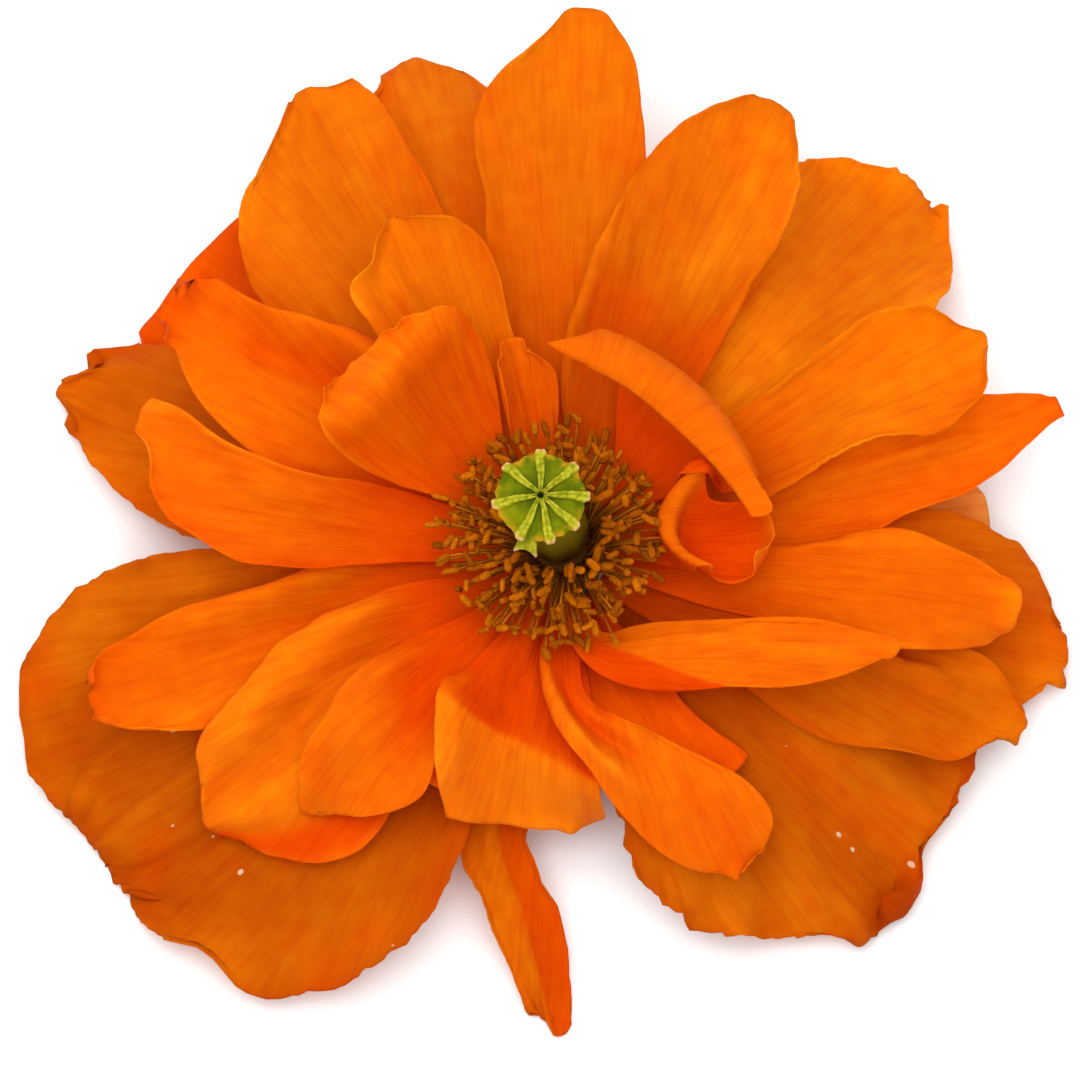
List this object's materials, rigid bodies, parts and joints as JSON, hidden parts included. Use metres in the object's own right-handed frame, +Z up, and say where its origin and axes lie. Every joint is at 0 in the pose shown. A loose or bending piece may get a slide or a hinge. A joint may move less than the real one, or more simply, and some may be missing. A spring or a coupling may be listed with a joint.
{
  "type": "double poppy flower",
  "caption": "Open double poppy bloom with loosely layered orange petals, a ring of golden stamens and a green seed capsule, cut off just below the flower.",
  "frame": {"origin": "on the surface that the flower rests on, under the middle of its bounding box", "axes": "+Z up out of the open face of the flower; +Y toward its tallest back petal; +X to the right of someone looking down at it with that petal pointing away"},
  "size_m": [0.0646, 0.0638, 0.0189],
  "materials": {
    "outer_petals": "matte",
    "middle_petals": "matte",
    "inner_petals": "matte",
    "stalk": "matte",
    "capsule": "matte",
    "stamens": "matte"
  },
  "bodies": {
    "root": {"receptacle_with_cut_stalk": "stalk", "outer_petal_left_back_tucked": "outer_petals", "outer_petal_left": "outer_petals", "outer_petal_back_left_narrow": "outer_petals", "outer_petal_front_narrow": "outer_petals", "outer_petal_left_front_broad": "outer_petals", "outer_petal_right_tucked": "outer_petals", "outer_petal_right": "outer_petals", "outer_petal_right_front_broad": "outer_petals", "outer_petal_back_left_broad": "outer_petals", "outer_petal_back_tall": "outer_petals", "outer_petal_back_right_broad": "outer_petals", "middle_petal_back_right": "middle_petals", "middle_petal_right_front": "middle_petals", "middle_petal_right_pointed": "middle_petals", "middle_petal_right": "middle_petals", "middle_petal_right_back": "middle_petals", "middle_petal_front_right_tucked": "middle_petals", "middle_petal_left": "middle_petals", "middle_petal_left_front": "middle_petals", "middle_petal_front_left_tucked": "middle_petals", "middle_petal_front_left_apron": "middle_petals", "middle_petal_front_apron": "middle_petals", "middle_petal_front_right": "middle_petals", "middle_petal_left_back": "middle_petals", "middle_petal_left_cupped": "middle_petals", "inner_petal_back_left": "inner_petals", "inner_petal_left_bowl": "inner_petals", "inner_petal_back": "inner_petals", "inner_petal_right_strip": "inner_petals", "inner_petal_right_spoon": "inner_petals", "inner_petal_right_curled": "inner_petals", "stamens": "stamens", "seed_capsule": "capsule"}
  },
  "joints": []
}
